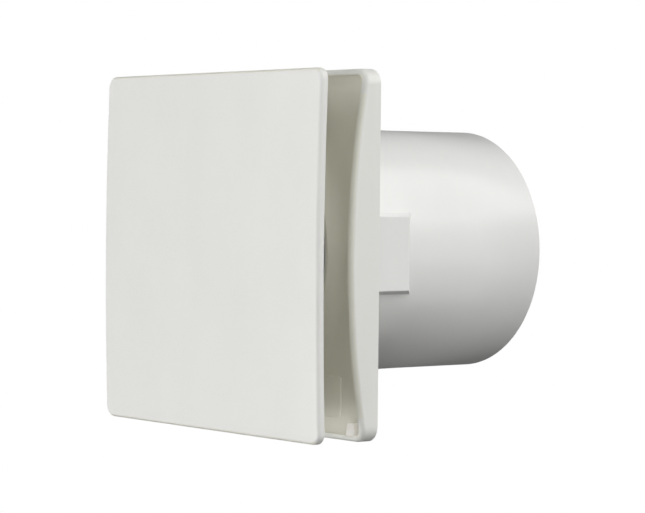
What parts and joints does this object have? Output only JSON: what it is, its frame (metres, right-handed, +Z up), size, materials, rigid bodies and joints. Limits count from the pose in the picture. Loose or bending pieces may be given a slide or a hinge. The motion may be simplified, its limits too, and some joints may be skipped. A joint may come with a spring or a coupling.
{
  "type": "bathroom extractor fan",
  "caption": "Wall-mounted axial extractor fan with a square panel stood off a shallow bowed frame and a round duct spigot behind.",
  "frame": {"origin": "centre of the four wall fixing holes, on the duct's axis in the plane of the wall", "axes": "+Y along the duct, into the wall; -Y faces the room; +Z up; +X to the right as seen from the room"},
  "size_m": [0.1412, 0.1339, 0.1412],
  "materials": {
    "white_abs": "slightly warm white moulded ABS, soft gloss",
    "impeller_plastic": "white moulded plastic, satin",
    "flap_plastic": "thin white moulded plastic, satin",
    "zinc_steel": "bright zinc-plated steel",
    "ground_steel": "ground bearing and shaft steel",
    "spring_steel": "drawn stainless spring wire",
    "lamination_steel": "stacked electrical steel sheet",
    "rotor_metal": "die-cast cage in a steel core",
    "copper_winding": "enamelled copper wire",
    "terminal_nylon": "natural nylon",
    "brass_terminal": "plated brass",
    "grommet_rubber": "black soft rubber",
    "lead_sheath": "white PVC sheath",
    "lens_plastic": "translucent pale pink plastic",
    "lamp_glass": "clear glass with an orange electrode glow when lit"
  },
  "bodies": {
    "casing": {"front_frame": "white_abs", "duct_casing": "white_abs", "casing_screws": "zinc_steel", "motor_front_cap": "zinc_steel", "motor_rear_cap": "zinc_steel", "motor_can": "zinc_steel", "front_bearing": "ground_steel", "rear_bearing": "ground_steel", "lamination_stack": "lamination_steel", "windings": "copper_winding", "motor_carrier": "white_abs", "motor_screws": "zinc_steel", "shutter_seat": "white_abs", "shutter_spindle": "ground_steel", "spring_coil": "spring_steel", "terminal_cover": "white_abs", "terminal_cover_screw": "zinc_steel", "terminal_block": "terminal_nylon", "terminal_screws": "brass_terminal", "cable_clamp": "terminal_nylon", "cable_clamp_screws": "zinc_steel", "cable_grommet": "grommet_rubber", "motor_lead": "lead_sheath", "pilot_cover": "white_abs", "pilot_lens": "lens_plastic", "pilot_lamp": "lamp_glass"},
    "panel": {"front_panel": "white_abs"},
    "impeller": {"impeller": "impeller_plastic", "motor_shaft": "ground_steel", "rotor": "rotor_metal"},
    "right_flap": {"right_flap": "flap_plastic", "right_spring_leg": "spring_steel"},
    "left_flap": {"left_flap": "flap_plastic", "left_spring_leg": "spring_steel"}
  },
  "joints": [
    {"name": "panel_pull", "type": "slide", "parent": "casing", "child": "panel", "axis": [0, -1, 0], "range_m": [0, 0.05]},
    {"name": "impeller_spin", "type": "hinge", "parent": "casing", "child": "impeller", "pos_m": [0, 0.03, 0], "axis": [0, 1, 0], "continuous": true},
    {"name": "right_flap_swing", "type": "hinge", "parent": "casing", "child": "right_flap", "pos_m": [0, 0.0582, 0], "axis": [0, 0, 1], "range_deg": [0, 70], "stiffness_Nm_per_rad": 0.0012, "springref_deg": -17.19},
    {"name": "left_flap_swing", "type": "hinge", "parent": "casing", "child": "left_flap", "pos_m": [0, 0.0582, 0], "axis": [0, 0, -1], "range_deg": [0, 70], "stiffness_Nm_per_rad": 0.0012, "springref_deg": -17.19}
  ]
}
